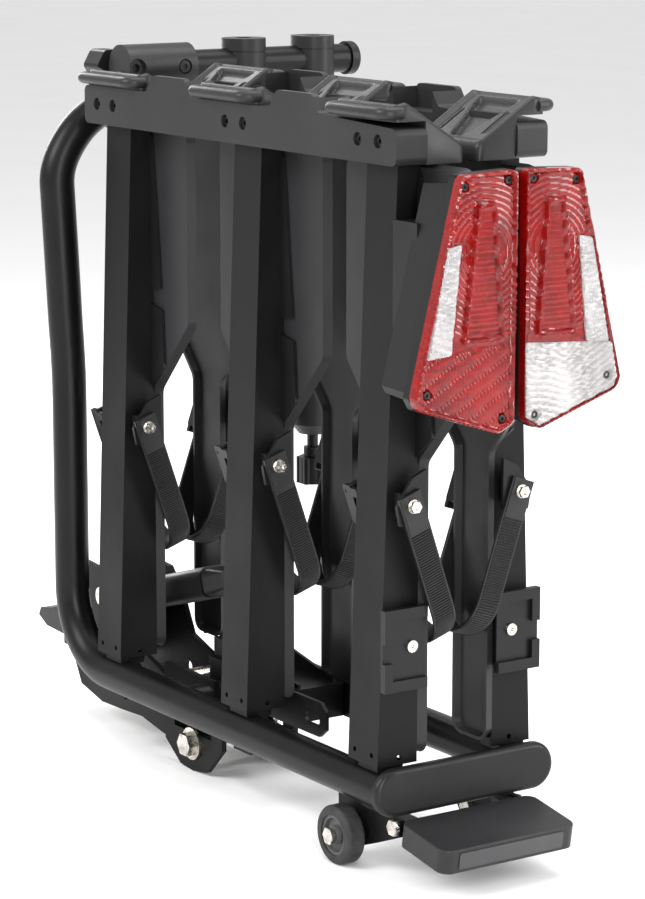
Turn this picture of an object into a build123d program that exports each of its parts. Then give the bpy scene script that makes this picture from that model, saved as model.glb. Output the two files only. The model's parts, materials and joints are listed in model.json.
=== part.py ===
from build123d import *
import os
from math import cos, sin, radians

# Folding tow-ball carrier for three bikes, shown folded: millimetres, X towards the lights, Z up.
# The two tray wings stand upright on the two rails and meet near the centre plane Y = 0.
TRAY_X = (-216, 0, 197)          # centre of each tray along the rails
RAIL_Y, RAIL_Z, RAIL_R, RAIL_WALL = 69, 75, 16, 2.5
RAIL_END = 228
MAST_X, MAST_BEND = -298, 70
BEAM_HALF, BEAM_OUT, BEAM_OUT_TOP, BEAM_IN = 21, 77, 59.5, 38
BEAM_LOW, BEAM_TOP, SHEET = 95, 582.9, 2.5
LIP_IN, TROUGH_NARROW, TROUGH_WIDE = 30, 24, 83
BAR_Z, BAR_R = 627, 13.7
ARM_Y = (125, 203)
WHEEL_X, WHEEL_R, WHEEL_W, WHEEL_Y = 162, 25, 17, 74.5
PIVOT_X, PIVOT_Z = -128, 26

os.makedirs("parts", exist_ok=True)

# The row frame: floor at Z = 0, origin under the middle of the whole carrier.
TO_ROW = Location((76.25, -74.63, 0))

def facing_y(y):
    return Plane.XZ.offset(-y)


def facing_x(x):
    return Plane.YZ.offset(x)


def facing_z(z):
    return Plane.XY.offset(z)


def prism(points, plane, depth, mode=Mode.ADD, taper=0, radius=0):
    with BuildSketch(plane) as outline:
        with BuildLine():
            Polyline(*points, close=True)
        make_face()
        if radius:
            fillet(outline.vertices(), radius)
    extrude(outline.sketch, amount=depth, mode=mode, taper=taper)


def block(x0, x1, y0, y1, z0, z1, mode=Mode.ADD, radius=0):
    prism([(x0, y0), (x1, y0), (x1, y1), (x0, y1)], facing_z(z0), z1 - z0, mode, 0, radius)


def rod(centre, radius, plane, depth, mode=Mode.ADD):
    with BuildSketch(plane) as disc:
        with Locations(centre):
            Circle(radius)
    extrude(disc.sketch, amount=depth, mode=mode)


def hexagon(centre, across, plane, depth):
    with BuildSketch(plane) as six:
        with Locations(centre):
            RegularPolygon(across / 2, 6, major_radius=False)
    extrude(six.sketch, amount=depth)


def bolt_x(x, y, z, head=9, length=8):
    """A hexagon-head bolt with its head towards +X and its shank towards -X."""
    hexagon((y, z), head, facing_x(x), 4)
    rod((y, z), head * 0.28, facing_x(x + 4), -1.6, Mode.SUBTRACT)
    rod((y, z), head * 0.62, facing_x(x), -1.2)
    rod((y, z), head * 0.3, facing_x(x), -length)


# ---- Fixed frame -----------------------------------------------------------------------------
with BuildPart() as mast_tube:
    with BuildLine() as path:
        low = Line((RAIL_END, -RAIL_Y, RAIL_Z), (MAST_X + MAST_BEND, -RAIL_Y, RAIL_Z))
        knee = ThreePointArc(
            (MAST_X + MAST_BEND, -RAIL_Y, RAIL_Z),
            (MAST_X + MAST_BEND * (1 - sin(radians(45))), -RAIL_Y, RAIL_Z + MAST_BEND * (1 - cos(radians(45)))),
            (MAST_X, -RAIL_Y, RAIL_Z + MAST_BEND),
        )
        post = Line((MAST_X, -RAIL_Y, RAIL_Z + MAST_BEND), (MAST_X, -RAIL_Y, 330))
        kick = Spline((MAST_X, -RAIL_Y, 330), (MAST_X, -RAIL_Y - 2.6, 390), (MAST_X, -RAIL_Y - 5.6, 450),
                      tangents=[(0, 0, 1), (0, -0.052, 1)])
        lean = Line((MAST_X, -RAIL_Y - 5.6, 450), (MAST_X, -RAIL_Y - 9.4, 522))
        neck = Spline((MAST_X, -RAIL_Y - 9.4, 522), (MAST_X, -66.5, 559), (MAST_X, -37, 587),
                      tangents=[(0, -0.052, 1), (0, 0.874, 0.486)])
        tip = Line((MAST_X, -37, 587), (MAST_X, -11, 601.46))
    with BuildSketch(Plane(origin=(RAIL_END, -RAIL_Y, RAIL_Z), z_dir=(-1, 0, 0))):
        Circle(RAIL_R)
        Circle(RAIL_R - RAIL_WALL, mode=Mode.SUBTRACT)
    sweep(path=path.wires()[0])

with BuildPart() as far_rail:
    rod((RAIL_Y, RAIL_Z), RAIL_R, facing_x(-118), RAIL_END + 118)
    rod((RAIL_Y, RAIL_Z), RAIL_R - RAIL_WALL, facing_x(-114), RAIL_END + 114, mode=Mode.SUBTRACT)

with BuildPart() as rear_end_plate:
    with BuildSketch(facing_x(RAIL_END + 0.02)):
        with Locations((0, 77)):
            SlotOverall(180, 40)
    extrude(amount=8)
    fillet(rear_end_plate.faces().sort_by(Axis.X)[-1].edges(), 5)
    rod((-RAIL_Y, RAIL_Z), RAIL_R - RAIL_WALL - 0.05, facing_x(RAIL_END + 1), -16)
    rod((RAIL_Y, RAIL_Z), RAIL_R - RAIL_WALL - 0.05, facing_x(RAIL_END + 1), -16)
    rod((-100, RAIL_Z), 14, facing_y(RAIL_Y), 2 * RAIL_Y)
    rod((-100, RAIL_Z), 11.5, facing_y(RAIL_Y), 2 * RAIL_Y, mode=Mode.SUBTRACT)
    for side in (-1, 1):
        rod((side * RAIL_Y, RAIL_Z), RAIL_R + 0.02, facing_x(-140), 100, mode=Mode.SUBTRACT)
        block(-140, -60, *sorted((side * 62, side * 90)), 50, 100, mode=Mode.SUBTRACT)

with BuildPart() as centre_box:
    block(-124, 20, -26, 26, 77, 107, radius=3)
    block(-121, 17, -23, 23, 80, 104, mode=Mode.SUBTRACT)
    rod((-100, RAIL_Z), 14.02, facing_y(30), 60, mode=Mode.SUBTRACT)
    prism([(-124, 107.02), (14, 107.02), (14, 110), (-60, 124), (-124, 124)], facing_y(20), 3)
    prism([(-124, 107.02), (14, 107.02), (14, 110), (-60, 124), (-124, 124)], facing_y(-17), 3)
    block(-124, -62, -17, 17, 121, 124)
    for y in (29.4, -26.02):
        prism([(-30, 76), (62, 76), (72, 84), (72, 100), (64, 107), (-30, 107)], facing_y(y), 3.38)
        for x in (44, 58):
            rod((x, 90), 4.5, facing_y(y + 1), 8, mode=Mode.SUBTRACT)
        block(44, 58, y - 7, y + 2, 85.5, 94.5, mode=Mode.SUBTRACT)

with BuildPart() as pivot_plates:
    for y in (41, -36):
        prism([(-176, 20), (-150, 2), (-128, 0), (-104, 4), (-78, 30), (-78, 62), (-92, 92), (-176, 92),
               (-182, 60)], facing_y(y), 5)
        rod((PIVOT_X, PIVOT_Z), 6.05, facing_y(y + 1), 8, mode=Mode.SUBTRACT)
        prism([(-160, 36), (-96, 36), (-96, 48), (-160, 48)], facing_y(y + 1), 8, mode=Mode.SUBTRACT)
    rod((-100, RAIL_Z), 14.02, facing_y(50), 100, mode=Mode.SUBTRACT)

with BuildPart() as wheel_brackets:
    for y in (62, -57):
        prism([(140, 72), (140, 30), (150, 16), (170, 14), (196, 24), (228, 37), (228, 51), (174, 52),
               (172, 72)], facing_y(y), 5)
        rod((WHEEL_X, WHEEL_R), 4.05, facing_y(y + 1), 8, mode=Mode.SUBTRACT)
        rod((222, 44), 4.05, facing_y(y + 1), 8, mode=Mode.SUBTRACT)
    for side in (-1, 1):
        rod((side * RAIL_Y, RAIL_Z), RAIL_R + 0.02, facing_x(120), 80, mode=Mode.SUBTRACT)

with BuildPart() as frame_bolts:
    rod((PIVOT_X, PIVOT_Z), 6, facing_y(45), 90)
    hexagon((PIVOT_X, PIVOT_Z), 19, facing_y(-43.4), 8)
    hexagon((PIVOT_X, PIVOT_Z), 19, facing_y(51.4), 8)
    rod((PIVOT_X, PIVOT_Z), 15, facing_y(-41.02), 2.4)
    rod((PIVOT_X, PIVOT_Z), 15, facing_y(43.42), 2.4)
    for side in (-1, 1):
        inner, outer = side * 55, side * 84.5
        rod((WHEEL_X, WHEEL_R), 4, facing_y(max(inner, outer)), abs(outer - inner))
        hexagon((WHEEL_X, WHEEL_R), 13, facing_y(max(side * 84, side * 88)), 4)
        hexagon((WHEEL_X, WHEEL_R), 13, facing_y(max(side * 52, side * 56.95)), 4.95)
    for side in (-1, 1):
        rod((222, 44), 4, facing_y(max(side * 40, side * 66)), 26)
        hexagon((222, 44), 12, facing_y(max(side * 62.05, side * 66)), 3.95)

# ---- Ball coupling, tilting about the pivot bolt -----------------------------------------------
with BuildPart() as cheek_plates:
    for y in (34, -29):
        prism([(-372, 90), (-371, 74), (-361, 58), (-346, 32), (-306, 23), (-268, 24), (-231, 26), (-150, 12),
               (-128, 10), (-112, 16), (-110, 36), (-150, 58), (-200, 80), (-244, 94), (-262, 128), (-285, 152),
               (-335, 156), (-360, 140)], facing_y(y), 5)
        rod((PIVOT_X, PIVOT_Z), 6.1, facing_y(y + 1), 8, mode=Mode.SUBTRACT)
        rod((-300, 128), 5.02, facing_y(y + 1), 8, mode=Mode.SUBTRACT)
        for x, z in ((-250, 60), (-215, 50), (-185, 42)):
            rod((x, z), 7, facing_y(y + 1), 8, mode=Mode.SUBTRACT)

with BuildPart() as ball_housing:
    block(-398, -316, -28.9, 28.9, 62, 112, radius=12)
    rod((-357, 0), 27, facing_z(112), 14)
    rod((-357, 0), 25.2, facing_z(60), 42, mode=Mode.SUBTRACT)
    prism([(-398.1, 66), (-398.1, 84), (-430, 88), (-452, 84), (-456, 76), (-440, 68)], facing_y(20), 40)
    rod((-430, 0), 9, facing_z(50), 50, mode=Mode.SUBTRACT)

with BuildPart() as coupling_pins:
    for x, z in ((-270, 40), (-318, 38), (-200, 66)):
        rod((x, z), 8, facing_y(28.98), 57.96)
    rod((-300, 128), 5, facing_y(38), 76)
    for y in (38, -34.02):
        rod((-300, 128), 9, facing_y(y), 3.98)

# ---- Coupling lever ----------------------------------------------------------------------------
LEVER = Plane(origin=(-231.9, 0, 143), z_dir=(0.958, 0, 0.287))
with BuildPart() as lever_arm:
    for y in (20, -15):
        prism([(-312, 118), (-300, 114), (-284, 118), (-236.4, 133), (-236.4, 149), (-284, 144), (-300, 143),
               (-313, 138)], facing_y(y), 5)
    prism([(-250, 129), (-236.4, 133), (-236.4, 149), (-250, 147)], facing_y(15.02), 30.04)
    rod((-300, 128), 5.1, facing_y(30), 60, mode=Mode.SUBTRACT)
    with BuildSketch(LEVER.offset(84.05)) as nose_end:
        Rectangle(27, 31)
        fillet(nose_end.vertices(), 8)
    extrude(amount=27, taper=12)

with BuildPart() as lever_grip:
    with BuildSketch(LEVER) as grip_end:
        Rectangle(30, 34)
        fillet(grip_end.vertices(), 9)
    extrude(amount=84)

# ---- Transport wheels and foot pedal -------------------------------------------------------------
def tyre(side):
    """The tyre on one side; side is -1 for the near wheel."""
    with BuildSketch(Plane.XY.offset(WHEEL_R)) as section:
        with Locations((WHEEL_X + 21, side * WHEEL_Y)):
            Rectangle(8, WHEEL_W)
        fillet(section.vertices().group_by(Axis.X)[-1], 3.5)
    axle = Axis((WHEEL_X, 0, WHEEL_R), (0, 1, 0))
    revolve(section.sketch, axis=axle)


def hub(side):
    """A spoked-disc hub with a boss, open for its axle."""
    face = side * WHEEL_Y + WHEEL_W / 2
    rod((WHEEL_X, WHEEL_R), 16.95, facing_y(face - 1.5), WHEEL_W - 3)
    rod((WHEEL_X, WHEEL_R), 8, facing_y(face), WHEEL_W)
    for start in (face + 1, face - WHEEL_W + 5):
        with BuildSketch(facing_y(start)) as ring:
            with Locations((WHEEL_X, WHEEL_R)):
                Circle(14.5)
                Circle(8, mode=Mode.SUBTRACT)
        extrude(ring.sketch, amount=6, mode=Mode.SUBTRACT)
    rod((WHEEL_X, WHEEL_R), 4.08, facing_y(face + 5), WHEEL_W + 10, mode=Mode.SUBTRACT)


with BuildPart() as near_tyre:
    tyre(-1)

with BuildPart() as near_hub:
    hub(-1)

with BuildPart() as far_tyre:
    tyre(1)

with BuildPart() as far_hub:
    hub(1)

PEDAL_TILT = radians(9)
PEDAL = Plane(origin=(228, 0, 49), x_dir=(cos(PEDAL_TILT), 0, -sin(PEDAL_TILT)),
              z_dir=(sin(PEDAL_TILT), 0, cos(PEDAL_TILT)))
with BuildPart() as foot_pedal:
    with BuildSketch(PEDAL.offset(-14)) as plan:
        with Locations((38, 0)):
            Rectangle(64, 134)
        fillet(plan.vertices(), 10)
    extrude(plan.sketch, amount=20)
    fillet(foot_pedal.faces().sort_by(Axis.Z)[-1].edges(), 1.5)
    for side in (-1, 1):
        block(214, 240, *sorted((side * 42, side * 56)), 38, 50)
        rod((222, 44), 4.1, facing_y(max(side * 30, side * 70)), 40, mode=Mode.SUBTRACT)

with BuildPart() as pedal_name_panel:
    rear_face = PEDAL.from_local_coords((70.02, 0, -4))
    with BuildSketch(Plane(origin=rear_face, x_dir=(0, 1, 0), z_dir=PEDAL.x_dir)) as panel:
        RectangleRounded(104, 14, 2)
    extrude(panel.sketch, amount=0.8)

# ---- Crossbar, its clamp and the two bike holders ------------------------------------------------
with BuildPart() as elbow_clamp:
    rod((MAST_X, BAR_Z), 21, facing_y(62), 72)
    with BuildSketch(Plane(origin=(MAST_X, -33, 589.2), z_dir=(0, 0.874, 0.486))) as socket:
        Circle(20)
    extrude(socket.sketch, amount=36)
    with BuildSketch(Plane(origin=(MAST_X, -60, 574.2), z_dir=(0, 0.874, 0.486))) as bore:
        Circle(RAIL_R + 0.02)
    extrude(bore.sketch, amount=56.1, mode=Mode.SUBTRACT)
    rod((MAST_X, BAR_Z), BAR_R + 0.1, facing_y(80), 74, mode=Mode.SUBTRACT)
    rod((48, BAR_Z), 7, facing_x(-281), 8, mode=Mode.SUBTRACT)
    rod((-3, BAR_Z), 4.1, facing_x(-340), 60, mode=Mode.SUBTRACT)
    rod((-3, BAR_Z), 9, facing_x(-281), 6, mode=Mode.SUBTRACT)
    rod((48, BAR_Z), 5.5, facing_x(-280.95), 3)
    rod((48, BAR_Z), 2.5, facing_x(-279.5), 4, mode=Mode.SUBTRACT)

with BuildPart() as elbow_knob:
    rod((-3, BAR_Z), 4, facing_x(-350), 66)
    with BuildSketch(facing_x(-350)) as lobes:
        with Locations((-3, BAR_Z)):
            RegularPolygon(17, 6)
        fillet(lobes.vertices(), 5)
    extrude(lobes.sketch, amount=26)
    rod((-3, BAR_Z), 9, facing_x(-351), 8, mode=Mode.SUBTRACT)

with BuildPart() as crossbar:
    rod((MAST_X, BAR_Z), BAR_R, facing_y(240), 230)
    rod((MAST_X, BAR_Z), BAR_R - 2, facing_y(241), 229, mode=Mode.SUBTRACT)

with BuildPart() as crossbar_cap:
    rod((MAST_X, BAR_Z), 16, facing_y(250), 10)
    fillet(crossbar_cap.faces().sort_by(Axis.Y)[-1].edges(), 3)
    rod((MAST_X, BAR_Z), BAR_R - 2.02, facing_y(242), 12)


def holder_head(y):
    """Split clamp head round the crossbar, with a cap on top."""
    with BuildSketch(facing_z(602)) as foot:
        with Locations((MAST_X, y)):
            Circle(21)
    extrude(foot.sketch, amount=48)
    with BuildSketch(facing_z(637)) as seam:
        with Locations((MAST_X, y)):
            Circle(30)
            Circle(20, mode=Mode.SUBTRACT)
    extrude(seam.sketch, amount=1.5, mode=Mode.SUBTRACT)
    rod((MAST_X, y), 8, facing_z(647), 5, mode=Mode.SUBTRACT)
    rod((MAST_X, BAR_Z), BAR_R + 0.1, facing_y(y + 30), 60, mode=Mode.SUBTRACT)


def holder_tube(y):
    rod((MAST_X, y), 11, facing_z(324.02), 277.96)
    rod((MAST_X, y), 9, facing_z(326), 274, mode=Mode.SUBTRACT)


def holder_jaw(y):
    """Jaw housing: a drum with a notch for a bicycle tube and a bore for the clamp screw."""
    rod((MAST_X, y), 22, facing_z(272), 52)
    with BuildSketch(facing_z(272)) as rim:
        with Locations((MAST_X, y)):
            Circle(22)
    extrude(rim.sketch, amount=-10, taper=38)
    rod((MAST_X - 10, 298), 13, facing_y(y + 30), 60, mode=Mode.SUBTRACT)
    block(MAST_X - 30, MAST_X - 10, y - 30, y + 30, 285, 311, mode=Mode.SUBTRACT)
    rod((MAST_X, y), 5.6, facing_z(255), 40, mode=Mode.SUBTRACT)


def holder_knob(y):
    rod((MAST_X, y), 5.5, facing_z(240), 46)
    with BuildSketch(facing_z(212)) as lobed:
        with Locations((MAST_X, y)):
            Circle(14)
            with PolarLocations(12.5, 6):
                Circle(3.6)
    extrude(lobed.sketch, amount=26)
    rod((MAST_X, y), 9, facing_z(238), 10)


with BuildPart() as inner_holder_head:
    holder_head(ARM_Y[0])

with BuildPart() as inner_holder_arm:
    holder_jaw(ARM_Y[0])
    holder_tube(ARM_Y[0])

with BuildPart() as inner_holder_knob:
    holder_knob(ARM_Y[0])

with BuildPart() as outer_holder_head:
    holder_head(ARM_Y[1])

with BuildPart() as outer_holder_arm:
    holder_jaw(ARM_Y[1])
    holder_tube(ARM_Y[1])

with BuildPart() as outer_holder_knob:
    holder_knob(ARM_Y[1])

# ---- Near tray wing: three trays on one end rail, hinged on the near rail --------------------------
def sheet_beam(x):
    """Folded-sheet beam, deep at the hinge and shallow at the tip, open towards the trough."""
    prism([(-BEAM_OUT, BEAM_LOW), (-BEAM_IN, BEAM_LOW), (-BEAM_IN, BEAM_TOP), (-BEAM_OUT_TOP, BEAM_TOP)],
          facing_x(x - BEAM_HALF), 2 * BEAM_HALF)
    prism([(SHEET - BEAM_OUT, BEAM_LOW - 1), (1 - BEAM_IN, BEAM_LOW - 1), (1 - BEAM_IN, BEAM_TOP + 1),
           (SHEET - BEAM_OUT_TOP, BEAM_TOP + 1)], facing_x(x - BEAM_HALF + SHEET),
          2 * (BEAM_HALF - SHEET), mode=Mode.SUBTRACT)
    for side in (-1, 1):
        rod((x + side * 12, 104), 2.2, facing_y(-BEAM_OUT - 1), -6, mode=Mode.SUBTRACT)
    rod((-56, 101), 2.2, facing_x(x + BEAM_HALF + 1), -6, mode=Mode.SUBTRACT)


def trough_outline(x, left, inset=0):
    narrow, wide, left = TROUGH_NARROW - inset, TROUGH_WIDE - inset, left - inset
    low, top = 100 + inset, 582.5 - inset
    step = inset * 0.45
    return [(x - narrow, low), (x + narrow, low), (x + narrow, 343 + step), (x + wide, 407 + step),
            (x + wide, top), (x - left, top), (x - left, 343 + step + (left - narrow) * 1.15), (x - narrow, 343 + step)]


def trough(x, left):
    """Dished wheel trough: narrow foot, S-shaped shoulders, wide head, lip towards the centre."""
    for inset, start, depth, mode in ((0, LIP_IN, 7.95, Mode.ADD), (2.5, LIP_IN - 1, 6.5, Mode.SUBTRACT)):
        with BuildSketch(facing_y(-start)) as dish:
            with BuildLine():
                Polyline(*trough_outline(x, left, inset), close=True)
            make_face()
            fillet(dish.vertices(), 12 if inset == 0 else 9.5)
        extrude(dish.sketch, amount=depth, taper=20, mode=mode)


with BuildPart() as near_beams:
    for x in TRAY_X:
        sheet_beam(x)
        with BuildSketch(facing_x(x - 10)) as ring:
            with Locations((-RAIL_Y, RAIL_Z)):
                Circle(19.6)
            with Locations((-RAIL_Y - 18, RAIL_Z - 4)):
                Rectangle(32, 46, mode=Mode.SUBTRACT)
        extrude(ring.sketch, amount=27)
        prism([(-74.4, 88), (-50, 88), (-48, 97), (-74.4, 97)], facing_x(x - 10), 27)
        rod((-RAIL_Y, RAIL_Z), RAIL_R + 0.1, facing_x(x - 30), 60, mode=Mode.SUBTRACT)

with BuildPart() as near_troughs:
    trough(TRAY_X[0], 57)
    trough(TRAY_X[1], 83)
    trough(TRAY_X[2], 85)

with BuildPart() as near_tray_brackets:
    for x in TRAY_X:
        prism([(x + 21.1, 348), (x + 43, 366), (x + 40, 418), (x + 21.1, 422)], facing_y(-38.2), 3)
        prism([(x + 21.1, 436), (x + 38, 438), (x + 25, 572), (x + 21.1, 578)], facing_y(-38.2), 3)
    for x in TRAY_X:
        prism([(-38.3, 300), (-44, 290), (-64, 296), (-67, 312), (-52, 334), (-38.3, 340)],
              facing_x(x + 29.7), 3.2)
        block(x + 21.05, x + 29.75, -62, -45, 302, 322)
        rod((-54, 312), 2.75, facing_x(x + 18), 20, mode=Mode.SUBTRACT)

with BuildPart() as near_end_rail:
    prism([(-252, 583), (236, 583), (236, 612), (128, 617), (118, 632), (66, 632), (54, 617), (-70, 617),
           (-80, 632), (-132, 632), (-144, 617), (-252, 617)], facing_y(-44), 30, radius=6)
    for x in TRAY_X:
        for side in (-1, 1):
            rod((x + side * 14, 601), 5.5, facing_y(-75), -6, mode=Mode.SUBTRACT)
    for low, high in ((-146, -66), (52, 132)):
        block(low + 12, high - 12, -68, -43, 612, 640, Mode.SUBTRACT)

def tip_cap(low, high):
    """Sloping end of one wheel trough, falling towards the centre, with a finger loop outside."""
    with BuildSketch(facing_x(low)) as wedge:
        with BuildLine():
            Polyline((-73, 617.1), (-43.9, 617.1), (-43.9, 583), (-12, 583), (-6, 586), (-6, 596),
                     (-62, 632), (-73, 632), close=True)
        make_face()
        fillet(wedge.vertices().filter_by_position(Axis.Z, 630, 700), 3)
    extrude(wedge.sketch, amount=high - low)
    block(low + 8, high - 8, -120, -9, 560, 592, Mode.SUBTRACT)
    with BuildSketch(Plane(origin=(0, -62, 632), x_dir=(1, 0, 0), z_dir=(0, 0.541, 0.841))) as dish:
        with Locations(((low + high) / 2, 26)):
            Rectangle(high - low - 26, 30)
        fillet(dish.vertices(), 10)
    extrude(dish.sketch, amount=-5, mode=Mode.SUBTRACT)
    with BuildSketch(facing_z(619)) as loop:
        with Locations(((low + high) / 2, -73)):
            RectangleRounded(high - low + 6, 26, 10)
            RectangleRounded(high - low - 8, 12, 5, mode=Mode.SUBTRACT)
        with Locations(((low + high) / 2, -60)):
            Rectangle(200, 22, mode=Mode.SUBTRACT)
    extrude(loop.sketch, amount=10)


with BuildPart() as near_tip_caps:
    tip_cap(-250, -158)
    tip_cap(-60, 30)
    tip_cap(148, 234)

STRAP_LEAN = 19
STRAP_OFF = (-54, 312)
HINGE_OUT, HINGE_UP = 37.5, -6   # ratchet lever hinge, from the tray centre and from the strap bolt


def strap_plane(offset=0):
    """Plane of a strap loop: its X stays X, its Y runs down the strap."""
    across = (0, cos(radians(STRAP_LEAN)), sin(radians(STRAP_LEAN)))
    return Plane(origin=(0, *STRAP_OFF), x_dir=(1, 0, 0), z_dir=across).offset(offset)


def strap_block(x0, x1, s0, s1, half, mode=Mode.ADD, radius=0):
    with BuildSketch(strap_plane(-half)) as piece:
        with Locations(((x0 + x1) / 2, (s0 + s1) / 2)):
            if radius:
                RectangleRounded(x1 - x0, s1 - s0, radius)
            else:
                Rectangle(x1 - x0, s1 - s0)
    extrude(piece.sketch, amount=2 * half, mode=mode)


with BuildPart() as near_straps:
    for x in TRAY_X:
        with BuildSketch(strap_plane(-11)) as loop:
            with Locations((x + 3.5, 94)):
                Circle(33)
                Circle(29.5, mode=Mode.SUBTRACT)
            with Locations((x + 3.5, 54)):
                Rectangle(80, 80, mode=Mode.SUBTRACT)
            with Locations((x + 34.75, 42)):
                Rectangle(3.5, 104)
            with Locations((x - 27.75, 47)):
                Rectangle(3.5, 94)
        extrude(loop.sketch, amount=22)
        rod((STRAP_OFF[0], STRAP_OFF[1]), 2.75, facing_x(x + 30), 10, mode=Mode.SUBTRACT)

with BuildPart() as near_zinc_bolts:
    for x in TRAY_X:
        bolt_x(x + 37.8, STRAP_OFF[0], STRAP_OFF[1], 9, 14)
    rod((-50, 195.5), 2.2, facing_x(218.1), 8)
    rod((-50, 195.5), 5, facing_x(226.02), 2.6)
    rod((-50, 195.5), 1.6, facing_x(227.4), 3, mode=Mode.SUBTRACT)

def strap_pin(x, radius, half, mode=Mode.ADD):
    """Round bar across the strap on the ratchet lever's hinge axis."""
    with BuildSketch(strap_plane(-half)) as pin:
        with Locations((x - HINGE_OUT, HINGE_UP)):
            Circle(radius)
    extrude(pin.sketch, amount=2 * half, mode=mode)


with BuildPart() as near_buckles:
    for x in TRAY_X:
        strap_block(x - 25.95, x - 21.1, -8, 20, 10)
        strap_block(x - 41, x - 29.55, -12, 24, 13, radius=3)
        strap_block(x - 42, x - 33, -13, 25, 9.7, Mode.SUBTRACT)
        for end in (-13, 10):
            with BuildSketch(strap_plane(end)) as link:
                with Locations((x - 27.5, -6)):
                    Rectangle(11, 8)
            extrude(link.sketch, amount=3)
        strap_pin(x, 1.6, 14, Mode.SUBTRACT)


def buckle_lever(x):
    """Ratchet lever lying on its buckle, hinged at its upper end."""
    strap_block(x - 45, x - 41.1, -8, 30, 9.4, radius=1.8)
    strap_block(x - 42, x - 36, 2, 12, 8)
    strap_block(x - 43, x - 37.5, -8, -4, 9.4)
    strap_pin(x, 2.6, 9.4)
    strap_pin(x, 1.55, 12.6)


with BuildPart() as near_buckle_lever_1:
    buckle_lever(TRAY_X[0])

with BuildPart() as near_buckle_lever_2:
    buckle_lever(TRAY_X[1])

with BuildPart() as near_buckle_lever_3:
    buckle_lever(TRAY_X[2])

# ---- Rear light of the near wing, and the number-plate clip below it --------------------------------
LENS = [(-4, 583), (-58, 581), (-101, 411), (-96, 402), (-20, 377), (-5, 385)]
HOUSING_DEEP = [(-44, 570), (-55, 574), (-95, 414), (-90, 406), (-44, 392)]
STRIP = [(-57, 528), (-70, 526), (-89, 441), (-66, 443)]
TONGUE = [(-24, 560), (-43, 559), (-56, 450), (-15, 452)]
BOTTOM = [(-92.2, 441), (-5.2, 447), (-6.5, 387.2), (-20, 379.5), (-94, 404), (-98.5, 411.5)]
LIGHT_X, LENS_THICK = 292, 10
LIGHT_SCREWS = ((-54, 572), (-12, 575), (-88, 414), (-16, 389))

with BuildPart() as near_light_housing:
    prism(LENS, facing_x(LIGHT_X - 0.05), -7.5, radius=4)
    prism(HOUSING_DEEP, facing_x(LIGHT_X - 7), -42, taper=4)
    block(218.05, 250.5, -64, -46, 424, 540)

with BuildPart() as near_lens_red:
    prism(LENS, facing_x(LIGHT_X), LENS_THICK, radius=4)
    chamfer(near_lens_red.faces().sort_by(Axis.X)[-1].edges(), 2)
    prism(TONGUE, facing_x(LIGHT_X + LENS_THICK - 1), 2.5, radius=3)
    prism(STRIP, facing_x(LIGHT_X + LENS_THICK - 4), 8, mode=Mode.SUBTRACT)
    for spot in LIGHT_SCREWS:
        rod(spot, 3.6, facing_x(LIGHT_X + 4), 12, mode=Mode.SUBTRACT)

with BuildPart() as near_lens_clear:
    prism(STRIP, facing_x(LIGHT_X + LENS_THICK - 3.98), 4.4, radius=0)

with BuildPart() as near_plate_clip:
    block(218.05, 223.4, -74, -42, 164, 224)
    block(223.3, 226, -78, -36, 160, 228)
    block(225.9, 229.7, -78, -36, 219, 228)
    block(225.9, 229.7, -78, -36, 160, 169)
    block(225.9, 229.7, -78, -70, 200, 228)
    block(225.9, 229.7, -78, -70, 160, 184)
    rod((-50, 195.5), 2.3, facing_x(217), 12, mode=Mode.SUBTRACT)

with BuildPart() as near_dark_screws:
    for x in TRAY_X:
        for side in (-1, 1):
            rod((x + side * 14, 601), 4.4, facing_y(-69.02), 2.6)
            rod((x + side * 14, 601), 2, facing_y(-72), -1.8, mode=Mode.SUBTRACT)
    for spot in LIGHT_SCREWS:
        rod(spot, 3, facing_x(LIGHT_X + 4.02), 2.5)
        rod(spot, 1.3, facing_x(LIGHT_X + 5.5), 2, mode=Mode.SUBTRACT)

# ---- Far wing: the near wing mirrored about the centre plane, lens bottom clear -----------------------
with BuildPart() as far_lens_red:
    mirror(near_lens_red.part, about=Plane.XZ)
    prism([(-y, z) for y, z in BOTTOM], facing_x(LIGHT_X + LENS_THICK - 4), 8, mode=Mode.SUBTRACT)

with BuildPart() as far_lens_clear:
    mirror(near_lens_clear.part, about=Plane.XZ)
    prism([(-y, z) for y, z in BOTTOM], facing_x(LIGHT_X + LENS_THICK - 3.98), 4.2)
    for y, z in LIGHT_SCREWS:
        rod((-y, z), 3.6, facing_x(LIGHT_X + 4), 12, mode=Mode.SUBTRACT)

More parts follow.
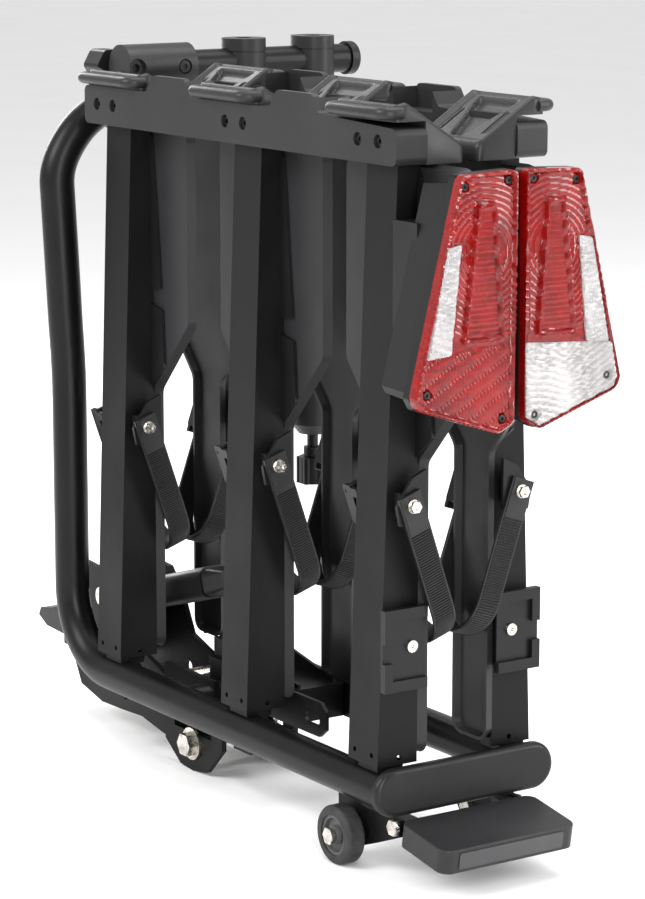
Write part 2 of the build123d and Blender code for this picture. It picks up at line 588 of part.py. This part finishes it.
MIRRORED = (near_beams, near_troughs, near_tray_brackets, near_end_rail, near_tip_caps, near_straps,
            near_zinc_bolts, near_dark_screws, near_buckles, near_buckle_lever_1, near_buckle_lever_2,
            near_buckle_lever_3, near_light_housing, near_plate_clip)
MIRRORED_NAMES = ("beams", "troughs", "tray_brackets", "end_rail", "tip_caps", "straps", "zinc_bolts",
                  "dark_screws", "buckles", "buckle_lever_1", "buckle_lever_2", "buckle_lever_3",
                  "light_housing", "plate_clip")
PIECES = {
    "mast_tube": mast_tube, "far_rail": far_rail, "rear_end_plate": rear_end_plate,
    "centre_box": centre_box, "pivot_plates": pivot_plates, "wheel_brackets": wheel_brackets,
    "frame_bolts": frame_bolts,
    "cheek_plates": cheek_plates, "ball_housing": ball_housing, "coupling_pins": coupling_pins,
    "lever_arm": lever_arm, "lever_grip": lever_grip, "near_tyre": near_tyre, "near_hub": near_hub,
    "far_tyre": far_tyre, "far_hub": far_hub, "foot_pedal": foot_pedal,
    "pedal_name_panel": pedal_name_panel, "elbow_clamp": elbow_clamp, "elbow_knob": elbow_knob,
    "crossbar": crossbar, "crossbar_cap": crossbar_cap, "inner_holder_head": inner_holder_head,
    "inner_holder_arm": inner_holder_arm, "inner_holder_knob": inner_holder_knob,
    "outer_holder_head": outer_holder_head, "outer_holder_arm": outer_holder_arm,
    "outer_holder_knob": outer_holder_knob, "near_lens_red": near_lens_red,
    "near_lens_clear": near_lens_clear, "far_lens_red": far_lens_red, "far_lens_clear": far_lens_clear,
}
for name, near in zip(MIRRORED_NAMES, MIRRORED):
    with BuildPart() as far:
        mirror(near.part, about=Plane.XZ)
    PIECES[f"near_{name}"], PIECES[f"far_{name}"] = near, far
for name, piece in PIECES.items():
    placed = piece.part.moved(TO_ROW)
    placed.label = name
    export_step(placed, f"parts/{name}.step")
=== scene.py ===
import json
from math import atan2, cos, hypot, pi, radians, sin

import bmesh
import bpy
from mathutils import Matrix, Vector
from mathutils.geometry import delaunay_2d_cdt


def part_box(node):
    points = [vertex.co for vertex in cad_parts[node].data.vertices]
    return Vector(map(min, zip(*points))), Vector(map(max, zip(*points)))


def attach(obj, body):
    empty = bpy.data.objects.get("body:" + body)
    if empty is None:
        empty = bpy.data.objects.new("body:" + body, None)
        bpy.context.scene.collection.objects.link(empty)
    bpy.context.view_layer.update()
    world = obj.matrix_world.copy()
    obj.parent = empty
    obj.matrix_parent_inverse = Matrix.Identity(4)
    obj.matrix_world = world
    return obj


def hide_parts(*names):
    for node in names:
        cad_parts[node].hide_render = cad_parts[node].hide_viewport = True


# Looks of a folded three-bike carrier. Points are written in the carrier's own millimetres:
# X towards the lights, Y across with the two tray wings meeting at 0, Z up from the floor.
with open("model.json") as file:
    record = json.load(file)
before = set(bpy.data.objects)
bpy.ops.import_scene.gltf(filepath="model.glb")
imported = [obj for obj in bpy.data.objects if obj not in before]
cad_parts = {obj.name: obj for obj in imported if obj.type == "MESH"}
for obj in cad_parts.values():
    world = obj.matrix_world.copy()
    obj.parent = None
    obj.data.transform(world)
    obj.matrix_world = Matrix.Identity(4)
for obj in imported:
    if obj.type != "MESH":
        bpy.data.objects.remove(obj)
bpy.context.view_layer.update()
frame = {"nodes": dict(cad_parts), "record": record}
NODES = frame["nodes"]
MM = 0.001
CENTRE_Y = (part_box("near_end_rail")[0].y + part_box("far_end_rail")[1].y) / 2
CENTRE_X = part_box("near_troughs")[0].x + 0.273


def row(x, y, z):
    """A point of the carrier in the row frame, in metres."""
    return Vector((CENTRE_X + x * MM, CENTRE_Y + y * MM, z * MM))


def smooth_step(low, high, value):
    t = min(1.0, max(0.0, (value - low) / (high - low)))
    return t * t * (3 - 2 * t)


# ---- Materials ---------------------------------------------------------------------------------
class Nodes:
    """Short calls for building one Principled material."""

    def __init__(self, name, **sockets):
        self.material = bpy.data.materials.new(name)
        self.material.use_nodes = True
        self.tree = self.material.node_tree
        self.shader = self.tree.nodes["Principled BSDF"]
        self.where = self.add("ShaderNodeTexCoord").outputs["Object"]
        for socket, value in sockets.items():
            self.shader.inputs[socket.replace("_", " ")].default_value = value

    def add(self, kind, **settings):
        node = self.tree.nodes.new(kind)
        for key, value in settings.items():
            setattr(node, key, value)
        return node

    def link(self, a, b):
        self.tree.links.new(a, b)

    def noise(self, scale, detail=2.0, roughness=0.5, stretch=None):
        node = self.add("ShaderNodeTexNoise")
        node.inputs["Scale"].default_value = scale
        node.inputs["Detail"].default_value = detail
        node.inputs["Roughness"].default_value = roughness
        self.link(self.stretched(stretch) if stretch else self.where, node.inputs["Vector"])
        return node.outputs["Fac"]

    def stretched(self, factors):
        node = self.add("ShaderNodeMapping")
        node.inputs["Scale"].default_value = factors
        self.link(self.where, node.inputs["Vector"])
        return node.outputs["Vector"]

    def ramp(self, source, *stops):
        node = self.add("ShaderNodeValToRGB")
        ramp = node.color_ramp
        while len(ramp.elements) < len(stops):
            ramp.elements.new(0.5)
        for element, (place, colour) in zip(ramp.elements, stops):
            element.position = place
            element.color = (*colour, 1) if isinstance(colour, tuple) else (colour, colour, colour, 1)
        self.link(source, node.inputs["Fac"])
        return node.outputs["Color"]

    def colour(self, source):
        self.link(source, self.shader.inputs["Base Color"])

    def roughness(self, source, low, high):
        node = self.add("ShaderNodeMapRange")
        node.inputs["From Min"].default_value = 0.3
        node.inputs["From Max"].default_value = 0.7
        node.inputs["To Min"].default_value = low
        node.inputs["To Max"].default_value = high
        self.link(source, node.inputs["Value"])
        self.link(node.outputs["Result"], self.shader.inputs["Roughness"])

    def mix(self, factor, a, b):
        node = self.add("ShaderNodeMix", data_type="RGBA")
        self.link(factor, node.inputs["Factor"])
        self.link(a, node.inputs[6])
        self.link(b, node.inputs[7])
        return node.outputs[2]

    def bump(self, *layers):
        """Each layer is (height output, strength, depth in metres)."""
        normal = None
        for height, strength, depth in layers:
            node = self.add("ShaderNodeBump")
            node.inputs["Strength"].default_value = strength
            node.inputs["Distance"].default_value = depth
            self.link(height, node.inputs["Height"])
            if normal:
                self.link(normal, node.inputs["Normal"])
            normal = node.outputs["Normal"]
        self.link(normal, self.shader.inputs["Normal"])


def plain_colour(m, value):
    node = m.add("ShaderNodeRGB")
    node.outputs[0].default_value = (*value, 1)
    return node.outputs[0]


def coated_steel(name, dark, light, rough, grain, depth):
    """Black powder coat: fine grain, faint patches of sheen, a few dust specks."""
    m = Nodes(name, Specular_IOR_Level=0.20)
    patches = m.noise(14, 3)
    fine = m.noise(grain, 3, 0.6)
    speck = m.ramp(m.noise(620, 1), (0.70, 0.0), (0.76, 1.0))
    body = m.ramp(patches, (0.35, dark), (0.65, light))
    m.colour(m.mix(speck, body, plain_colour(m, tuple(2.2 * c for c in light))))
    m.roughness(patches, *rough)
    m.bump((fine, 0.55, depth), (m.noise(90, 2), 0.12, 0.0006))
    return m.material


def moulded(name, dark, light, rough, grain=900, depth=0.00012, sheen=0.26):
    """Satin moulded plastic with a fine spark-eroded grain and soft flow variation."""
    m = Nodes(name, Specular_IOR_Level=sheen)
    flow = m.noise(9, 3, 0.55, (1, 1, 0.5))
    fine = m.noise(grain, 2, 0.7)
    m.colour(m.ramp(flow, (0.3, dark), (0.7, light)))
    m.roughness(m.noise(26, 3), *rough)
    m.bump((fine, 0.5, depth), (m.noise(60, 1), 0.08, 0.0006))
    return m.material


def plated(name):
    """Zinc plating: brushed, slightly yellowed, with dark stains in patches."""
    m = Nodes(name, Metallic=1.0)
    tint = m.ramp(m.noise(160, 3), (0.3, (0.40, 0.37, 0.33)), (0.55, (0.72, 0.69, 0.64)),
                  (0.75, (0.80, 0.74, 0.62)))
    m.colour(tint)
    m.roughness(m.noise(240, 3, 0.6, (1, 1, 4)), 0.16, 0.38)
    m.bump((m.noise(900, 2, 0.5, (1, 1, 5)), 0.25, 0.0001))
    return m.material


def blackened(name):
    m = Nodes(name, Metallic=0.9)
    m.colour(m.ramp(m.noise(300, 3), (0.35, (0.02, 0.02, 0.022)), (0.7, (0.06, 0.058, 0.056))))
    m.roughness(m.noise(400, 2), 0.28, 0.5)
    m.bump((m.noise(1200, 2), 0.3, 0.0001))
    return m.material


def rubber(name):
    m = Nodes(name, Specular_IOR_Level=0.3)
    dust = m.noise(70, 4, 0.6)
    m.colour(m.ramp(dust, (0.35, (0.020, 0.020, 0.021)), (0.72, (0.040, 0.040, 0.040))))
    m.roughness(m.noise(200, 3), 0.55, 0.8)
    m.bump((m.noise(1500, 2), 0.5, 0.0001))
    return m.material


def strap_plastic(name):
    m = Nodes(name, Specular_IOR_Level=0.4)
    m.colour(m.ramp(m.noise(40, 3), (0.3, (0.004, 0.004, 0.0045)), (0.7, (0.009, 0.009, 0.01))))
    m.roughness(m.noise(120, 2), 0.38, 0.55)
    m.bump((m.noise(1400, 2), 0.35, 0.00008))
    return m.material


def lens(name, deep, lit, rib_scale, rough=(0.16, 0.28)):
    """Glossy moulded lens: cloudy depth of colour, with bright streaks painted in as the highlight of the
    reflector behind its ribs.
    """
    m = Nodes(name, Coat_Weight=0.35, Coat_Roughness=0.05, Specular_IOR_Level=0.3)
    cloud = m.noise(26, 3, 0.55, (1, 1, 0.6))
    # painted highlight: streaks of the lit colour stand for light caught by the reflector behind the ribs, mixed
    # in patches over the cloudy body colour
    painted_highlight_streaks = m.noise(rib_scale, 2, 0.5, (1, 0.5, 1.6))
    body = m.ramp(cloud, (0.32, deep), (0.68, lit))
    painted_rib_highlight = m.ramp(painted_highlight_streaks, (0.45, tuple(0.7 * c for c in deep)), (0.62, lit))
    m.colour(m.mix(m.ramp(m.noise(45, 2), (0.35, 0.15), (0.7, 0.75)), body, painted_rib_highlight))
    m.roughness(m.noise(60, 2), *rough)
    m.bump((m.noise(300, 2), 0.05, 0.0001))
    return m.material


MATERIALS = {
    "black_tube": coated_steel("black_tube", (0.0022, 0.0022, 0.0025), (0.0042, 0.0042, 0.0045), (0.30, 0.40),
                               1400, 0.00005),
    "black_sheet": coated_steel("black_sheet", (0.0014, 0.0014, 0.0016), (0.0032, 0.0032, 0.0035), (0.46, 0.60),
                                820, 0.00022),
    "charcoal_plastic": moulded("charcoal_plastic", (0.014, 0.014, 0.015), (0.022, 0.022, 0.0235), (0.34, 0.46)),
    "black_plastic": moulded("black_plastic", (0.004, 0.004, 0.0045), (0.008, 0.008, 0.0085), (0.32, 0.46)),
    "strap_plastic": strap_plastic("strap_plastic"),
    "zinc": plated("zinc"),
    "dark_screw": blackened("dark_screw"),
    "lens_red": lens("lens_red", (0.12, 0.0010, 0.0008), (0.24, 0.0020, 0.0015), 260),
    "lens_clear": lens("lens_clear", (0.30, 0.285, 0.285), (0.46, 0.44, 0.44), 300),
    "tyre_rubber": rubber("tyre_rubber"),
    "hub_plastic": moulded("hub_plastic", (0.075, 0.075, 0.078), (0.105, 0.104, 0.105), (0.38, 0.5)),
    "panel": moulded("panel", (0.045, 0.045, 0.047), (0.058, 0.058, 0.060), (0.3, 0.4)),
}

SLOTS = {part["node"]: part["material_slot"] for part in frame["record"]["subparts"]}
BODY_OF = {node: body for body, nodes in frame["record"]["behaviour"]["bodies"].items() for node in nodes}


def dress(obj, slot):
    obj.data.materials.clear()
    obj.data.materials.append(MATERIALS[slot])


def piece(name, mesh, node, slot=None, replaces=True):
    """A finished mesh as a piece that rides with a CAD node's body and stands for that node."""
    obj = bpy.data.objects.new(name, mesh)
    bpy.context.scene.collection.objects.link(obj)
    slot = slot or SLOTS[node]
    dress(obj, slot)
    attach(obj, BODY_OF[node])
    if replaces:
        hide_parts(node)
    return obj


def finish_mesh(bm, name, sharp=35):
    """Normals outwards, smooth shading with edges past the sharp angle kept hard."""
    bmesh.ops.recalc_face_normals(bm, faces=bm.faces)
    for face in bm.faces:
        face.smooth = True
    for edge in bm.edges:
        if len(edge.link_faces) == 2 and edge.calc_face_angle(0) > radians(sharp):
            edge.smooth = False
    mesh = bpy.data.meshes.new(name)
    bm.to_mesh(mesh)
    bm.free()
    return mesh


for node, obj in NODES.items():
    dress(obj, SLOTS[node])

# ---- Camera, floor and light -------------------------------------------------------------------
AZIMUTH, ELEVATION, DISTANCE, LENS_MM = 56.23, 10.98, 2644.2, 123.2
look_at = row(23.1, 0, 318.3)
back = Vector((sin(radians(AZIMUTH)) * cos(radians(ELEVATION)),
               -cos(radians(AZIMUTH)) * cos(radians(ELEVATION)), sin(radians(ELEVATION))))
camera = bpy.data.objects.new("camera", bpy.data.cameras.new("camera"))
camera.data.lens = LENS_MM
camera.data.sensor_width = 36
camera.data.clip_end = 50
camera.location = look_at + back * DISTANCE * MM
camera.rotation_mode = "QUATERNION"
camera.rotation_quaternion = (-back).to_track_quat("-Z", "Y")
bpy.context.scene.collection.objects.link(camera)
bpy.context.scene.camera = camera

floor_mesh = bpy.data.meshes.new("floor")
FLOOR_HALF = 30
floor_mesh.from_pydata([(-FLOOR_HALF, -FLOOR_HALF, 0), (FLOOR_HALF, -FLOOR_HALF, 0), (FLOOR_HALF, FLOOR_HALF, 0),
                        (-FLOOR_HALF, FLOOR_HALF, 0)], [], [(0, 1, 2, 3)])
floor = bpy.data.objects.new("floor", floor_mesh)
floor_look = Nodes("floor", Roughness=0.9, Specular_IOR_Level=0.1)
floor_look.colour(floor_look.ramp(floor_look.noise(3, 2), (0.3, 0.93), (0.7, 0.95)))
floor_mesh.materials.append(floor_look.material)
bpy.context.scene.collection.objects.link(floor)


def area_light(name, place, target, size, power, size_y=None):
    light = bpy.data.lights.new(name, "AREA")
    light.shape = "RECTANGLE"
    light.size, light.size_y, light.energy = size, size_y or size, power
    obj = bpy.data.objects.new(name, light)
    obj.location = place
    obj.rotation_mode = "QUATERNION"
    obj.rotation_quaternion = (Vector(target) - Vector(place)).to_track_quat("-Z", "Y")
    bpy.context.scene.collection.objects.link(obj)


HEART = (0.05, -0.05, 0.35)
area_light("key", (-0.4, -2.6, 2.2), HEART, 1.4, 75)
area_light("rim_right", (2.0, 1.9, 1.3), HEART, 0.7, 45, 2.0)
area_light("overhead", (0.2, 0.4, 2.8), HEART, 1.8, 55)
area_light("edge_strip", (2.2, -1.0, 0.9), HEART, 0.22, 34, 1.8)
area_light("back_left", (-2.4, 0.2, 1.4), HEART, 0.6, 30, 1.8)
world = bpy.data.worlds.new("studio")
bpy.context.scene.world = world
world.use_nodes = True
world.node_tree.nodes["Background"].inputs["Color"].default_value = (1, 1, 1, 1)
world.node_tree.nodes["Background"].inputs["Strength"].default_value = 0.80
bpy.context.scene.view_settings.view_transform = "Standard"


# ---- Relief pieces: an outline filled with a fine grid and raised by a height function -----------
def inside(u, v, outline):
    hit = False
    for (u0, v0), (u1, v1) in zip(outline, outline[1:] + outline[:1]):
        if (v0 > v) != (v1 > v) and u < (u1 - u0) * (v - v0) / (v1 - v0) + u0:
            hit = not hit
    return hit


def edge_distance(u, v, outline):
    """Distance from a point to the outline, negative outside it."""
    best = 1e9
    for (u0, v0), (u1, v1) in zip(outline, outline[1:] + outline[:1]):
        du, dv = u1 - u0, v1 - v0
        t = min(1.0, max(0.0, ((u - u0) * du + (v - v0) * dv) / (du * du + dv * dv)))
        best = min(best, hypot(u - u0 - t * du, v - v0 - t * dv))
    return best if inside(u, v, outline) else -best


def rounded(outline, radius, steps=5):
    """The outline with each corner turned into an arc."""
    result = []
    for (u0, v0), (u1, v1), (u2, v2) in zip(outline[-1:] + outline[:-1], outline, outline[1:] + outline[:1]):
        corner, before, after = Vector((u1, v1)), Vector((u0, v0)), Vector((u2, v2))
        reach = min(radius, (before - corner).length * 0.45, (after - corner).length * 0.45)
        start = corner + (before - corner).normalized() * reach
        end = corner + (after - corner).normalized() * reach
        for step in range(steps + 1):
            t = step / steps
            result.append(tuple(start * (1 - t) ** 2 + corner * (2 * t * (1 - t)) + end * t ** 2))
    return result


def relief(name, outline, pitch, height, base, place, sharp=38):
    """Closed mesh between the height and base functions over the outline."""
    border = []
    for (u0, v0), (u1, v1) in zip(outline, outline[1:] + outline[:1]):
        steps = max(1, int(hypot(u1 - u0, v1 - v0) / pitch))
        border += [(u0 + (u1 - u0) * k / steps, v0 + (v1 - v0) * k / steps) for k in range(steps)]
    low_u, high_u = min(u for u, v in outline), max(u for u, v in outline)
    low_v, high_v = min(v for u, v in outline), max(v for u, v in outline)
    points = list(border)
    for i in range(int((high_u - low_u) / pitch) + 1):
        for j in range(int((high_v - low_v) / pitch) + 1):
            u, v = low_u + (i + 0.5) * pitch, low_v + (j + 0.5) * pitch
            if edge_distance(u, v, outline) > 0.45 * pitch:
                points.append((u, v))
    loop = [list(range(len(border)))]
    flat, _, faces, *_ = delaunay_2d_cdt([Vector(p) for p in points], [], loop, 1, 1e-5)
    bm = bmesh.new()
    tops = [bm.verts.new(place(p.x, p.y, height(p.x, p.y))) for p in flat]
    bottoms = [bm.verts.new(place(p.x, p.y, base(p.x, p.y))) for p in flat]
    for face in faces:
        bm.faces.new([tops[i] for i in face])
        bm.faces.new([bottoms[i] for i in reversed(face)])
    below = dict(zip(tops, bottoms))
    for edge in [e for e in bm.edges if len(e.link_faces) == 1 and e.verts[0] in below]:
        a, b = edge.verts
        bm.faces.new([a, b, below[b], below[a]])
    return finish_mesh(bm, name, sharp)


# ---- Lenses --------------------------------------------------------------------------------------
LENS = rounded([(-4, 583), (-58, 581), (-101, 411), (-96, 402), (-20, 377), (-5, 385)], 5)
TONGUE = rounded([(-24, 560), (-43, 559), (-56, 450), (-15, 452)], 4)
STRIP = [(-57, 528), (-70, 526), (-89, 441), (-66, 443)]
BOTTOM = [(-92.2, 441), (-5.2, 447), (-6.5, 387.2), (-20, 379.5), (-94, 404), (-98.5, 411.5)]
LIGHT_X = 292
# Heights over the back of the lens: its plain face, the floor of a recess for a clear insert, and
# the undersides of lens and insert, which start just off the surface they lie on.
FACE, RECESS, LENS_BACK, INSERT_BACK = 6.4, 6.0, 0.05, 6.05
RIM_HEIGHT, TONGUE_HEIGHT = 3.2, 4.4
LIGHT_SCREWS = ((-54, 572), (-12, 575), (-88, 414), (-16, 389))
SUN_Y, SUN_Z = -33, 520


def ridge(distance, pitch, depth):
    """Rounded ribs repeating at a pitch."""
    return depth * abs(sin(pi * distance / pitch))


def lens_height(clear_bottom):
    """Red lens: raised rim and tongue, arc ribs above, straight ribs below, recesses and screw wells."""
    inserts = [STRIP, BOTTOM] if clear_bottom else [STRIP]

    def height(y, z):
        rim = edge_distance(y, z, LENS)
        tongue = edge_distance(y, z, TONGUE)
        level = FACE
        if tongue < 0:
            if edge_distance(y, z, BOTTOM) > 0:
                level += ridge(y + 0.12 * z, 3.2, 0.9)
            elif 20 < hypot(y - SUN_Y, z - SUN_Z) < 70:
                level += ridge(hypot(y - SUN_Y, z - SUN_Z), 4.6, 1.1)
        else:
            frame_rise = smooth_step(0, 1.2, tongue) - 0.75 * smooth_step(3.0, 4.4, tongue)
            level += TONGUE_HEIGHT * frame_rise + (ridge(z, 4.0, 0.35) if tongue > 4.4 else 0)
        level += RIM_HEIGHT * (1 - smooth_step(2.2, 4.0, rim)) if tongue < 0 else 0
        level -= 2.2 * (1 - smooth_step(-0.6, 1.8, rim)) ** 2
        for insert in inserts:
            if tongue < 0:
                level = min(level, RECESS + 4 * (1 - smooth_step(-0.9, 0.1, edge_distance(y, z, insert))))
        for well_y, well_z in LIGHT_SCREWS:
            level = min(level, 3.9 + 6.5 * smooth_step(3.6, 4.4, hypot(y - well_y, z - well_z)))
        return level
    return height


def on_light(mirror):
    """Places a lens point at its height over the back of the lens."""
    return lambda y, z, h: row(LIGHT_X + h, mirror * y, z)


def strip_height(y, z):
    """Clear side strip with ribs along its length."""
    return 8.2 + ridge(y - 0.2 * z, 2.6, 1.1) - 1.2 * (1 - smooth_step(0, 1.2, edge_distance(y, z, STRIP)))


MIRROR = {"near": 1, "far": -1}
for prefix, mirror in MIRROR.items():
    place = on_light(mirror)
    body = relief(f"{prefix}_lens_body", LENS, 1.5, lens_height(mirror < 0), lambda y, z: LENS_BACK, place)
    piece(f"{prefix}_lens_body", body, f"{prefix}_lens_red")
    strip = relief(f"{prefix}_lens_strip", rounded(STRIP, 2), 1.2, strip_height, lambda y, z: INSERT_BACK, place)
    piece(f"{prefix}_lens_strip", strip, f"{prefix}_lens_clear")
bottom = rounded([(y + (0.6 if y < -50 else -0.6), z) for y, z in BOTTOM], 2)


def clear_bottom_height(y, z):
    """Clear lower part of the far light, with wavy ribs and screw wells."""
    if edge_distance(y, z, TONGUE) > -0.8:
        return 6.06
    wave = ridge(hypot(y + 40, z - 470) + 2.5 * sin(8 * atan2(z - 470, y + 40)), 5.2, 1.4)
    level = 7.6 + wave - 1.4 * (1 - smooth_step(0, 1.6, edge_distance(y, z, BOTTOM)))
    for well_y, well_z in LIGHT_SCREWS:
        level = min(level, 6.06 + 5 * smooth_step(4.0, 4.9, hypot(y - well_y, z - well_z)))
    return level


lower = relief("far_lens_bottom", bottom, 1.3, clear_bottom_height, lambda y, z: INSERT_BACK, on_light(-1))
piece("far_lens_bottom", lower, "far_lens_clear")

# ---- Ladder straps ---------------------------------------------------------------------------------
TRAY_X = (-216, 0, 197)
CAP_ENDS = ((-250, -158), (-60, 30), (148, 234))
STRAP_REACH, STRAP_DROP, STRAP_LEAN = 27.75, 94, radians(19)
STRAP_Y, STRAP_Z = -54, 312
TOOTH = 2.2
HALF_STRAP = 11


def strap_path(x):
    """Samples (x, s, outward x, outward s, length) down the bolt leg, round and up the buckle leg."""
    right, left, drop = x + 34.75, x - STRAP_REACH, STRAP_DROP
    middle, radius = (right + left) / 2, (right - left) / 2
    total = drop + 10 + pi * radius + drop
    count = int(total / (TOOTH / 4))
    for index in range(count + 1):
        run = total * index / count
        if run < drop + 10:
            yield right, run - 10, 1, 0, run
        elif run < drop + 10 + pi * radius:
            turn = (run - drop - 10) / radius
            yield middle + radius * cos(turn), drop + radius * sin(turn), cos(turn), sin(turn), run
        else:
            yield left, drop - (run - drop - 10 - pi * radius), -1, 0, run


def ladder_strap(name, mirror, x):
    bm = bmesh.new()
    sections = []
    for px, ps, nx, ns, run in strap_path(x):
        phase = (run / TOOTH) % 1
        tooth = 1.75 if phase < 0.5 else 0.55
        if run < 34:
            tooth = 1.75
        ring = []
        for w, out in ((-HALF_STRAP, 1.0), (-9.6, 1.0), (-9.2, tooth), (9.2, tooth), (9.6, 1.0), (HALF_STRAP, 1.0),
                       (HALF_STRAP, -1.2), (10.4, -1.75), (-10.4, -1.75), (-HALF_STRAP, -1.2)):
            s, across = ps + out * ns, w
            y = STRAP_Y + s * sin(STRAP_LEAN) + across * cos(STRAP_LEAN)
            z = STRAP_Z - s * cos(STRAP_LEAN) + across * sin(STRAP_LEAN)
            ring.append(bm.verts.new(row(px + out * nx, y * mirror, z)))
        sections.append(ring)
    for ring, following in zip(sections, sections[1:]):
        for a in range(len(ring)):
            b = (a + 1) % len(ring)
            bm.faces.new((ring[a], ring[b], following[b], following[a]))
    bm.faces.new(sections[0])
    bm.faces.new(sections[-1])
    return finish_mesh(bm, name, 32)


for prefix, mirror in MIRROR.items():
    for number, x in enumerate(TRAY_X, 1):
        name = f"{prefix}_strap_{number}"
        piece(name, ladder_strap(name, mirror, x), f"{prefix}_straps")

# ---- Tip caps --------------------------------------------------------------------------------------
def tip_cap(name, mirror, start, end):
    """Dished sloping cap with a rolled rim, a pointed recess and two slots at each side."""
    outline = rounded([(start, -73), (end, -73), (end, -6), (start, -6)], 6)
    middle = (start + end) / 2
    arch = rounded([(start + 15, -60), (end - 15, -60), (middle + 9, -16), (middle - 9, -16)], 6)

    def height(x, y):
        rim = edge_distance(x, y, outline)
        slope = 632 - (y + 62) * 37 / 58 if y > -62 else 632 - (-62 - y) * 0.2
        slope -= 2.8 * smooth_step(4, 9, rim)
        slope -= 3.5 * (1 - smooth_step(0, 3.2, rim)) ** 2
        slope -= 5.5 * smooth_step(0, 2.6, edge_distance(x, y, arch))
        for offset in (10.5, 14.5):
            for slot in (start + offset, end - offset):
                if abs(y + 34) < 12:
                    slope -= 3.5 * (1 - smooth_step(0.6, 1.3, abs(x - slot)))
        return slope

    def base(x, y):
        return 617.1 if y < -43.9 else 583

    return relief(name, outline, 1.25, height, base, lambda x, y, z: row(x, y * mirror, z), 50)


def finger_loop(name, mirror, start, end):
    """Round bar bent into a handle outside the cap."""
    bar = 5
    corner = 9
    turns = [pi / 2 * step / 8 for step in range(9)]
    route = [(start + 2, -66)]
    route += [(start + 2 + corner - corner * cos(t), -72 - corner * sin(t)) for t in turns]
    route += [(end - 2 - corner + corner * sin(t), -72 - corner * cos(t)) for t in turns]
    route += [(end - 2, -66)]
    bm = bmesh.new()
    rings = []
    for k, (x, y) in enumerate(route):
        before, after = route[max(0, k - 1)], route[min(len(route) - 1, k + 1)]
        along = Vector((after[0] - before[0], after[1] - before[1])).normalized()
        rings.append([bm.verts.new(row(x - along.y * bar * cos(turn), (y + along.x * bar * cos(turn)) * mirror,
                                       624 + bar * sin(turn)))
                      for turn in (2 * pi * step / 16 for step in range(16))])
    for ring, following in zip(rings, rings[1:]):
        for a in range(16):
            bm.faces.new((ring[a], ring[(a + 1) % 16], following[(a + 1) % 16], following[a]))
    bm.faces.new(rings[0])
    bm.faces.new(rings[-1])
    return finish_mesh(bm, name, 40)


for prefix, mirror in MIRROR.items():
    for number, (start, end) in enumerate(CAP_ENDS, 1):
        name = f"{prefix}_tip_cap_{number}"
        piece(name, tip_cap(name, mirror, start, end), f"{prefix}_tip_caps")
        name = f"{prefix}_finger_loop_{number}"
        piece(name, finger_loop(name, mirror, start, end), f"{prefix}_tip_caps")


# ---- CAD nodes that stay: softened edges ---------------------------------------------------------
EDGE_RADIUS = {"near_beams": 1.6, "far_beams": 1.6, "near_end_rail": 2.4, "far_end_rail": 2.4,
               "near_tyre": 2.6, "far_tyre": 2.6, "lever_grip": 3.0, "elbow_clamp": 2.2, "elbow_knob": 1.2,
               "inner_holder_knob": 1.2, "outer_holder_knob": 1.2, "inner_holder_head": 2.0,
               "outer_holder_head": 2.0, "pivot_plates": 0.5, "wheel_brackets": 0.5, "cheek_plates": 0.6,
               "near_troughs": 0.5, "far_troughs": 0.5, "near_tray_brackets": 0.3, "far_tray_brackets": 0.3,
               "near_light_housing": 1.6, "far_light_housing": 1.6, "near_plate_clip": 0.5, "far_plate_clip": 0.5,
               "foot_pedal": 1.4, "centre_box": 0.6, "ball_housing": 2.0, "lever_arm": 1.0,
               "crossbar_cap": 0.6, "near_buckles": 0.7, "far_buckles": 0.7, "near_hub": 0.5, "far_hub": 0.5,
               "frame_bolts": 0.4, "near_zinc_bolts": 0.3, "far_zinc_bolts": 0.3, "near_dark_screws": 0.2,
               "far_dark_screws": 0.2, "pedal_name_panel": 0.25}
EDGE_RADIUS.update({f"{side}_buckle_lever_{n}": 0.6 for side in ("near", "far") for n in (1, 2, 3)})


def soften(node, radius):
    bevel = NODES[node].modifiers.new("soft_edges", "BEVEL")
    bevel.width = radius * MM
    bevel.segments = 3
    bevel.limit_method = "ANGLE"
    bevel.angle_limit = radians(40)
    bevel.harden_normals = True


for node, radius in EDGE_RADIUS.items():
    soften(node, radius)
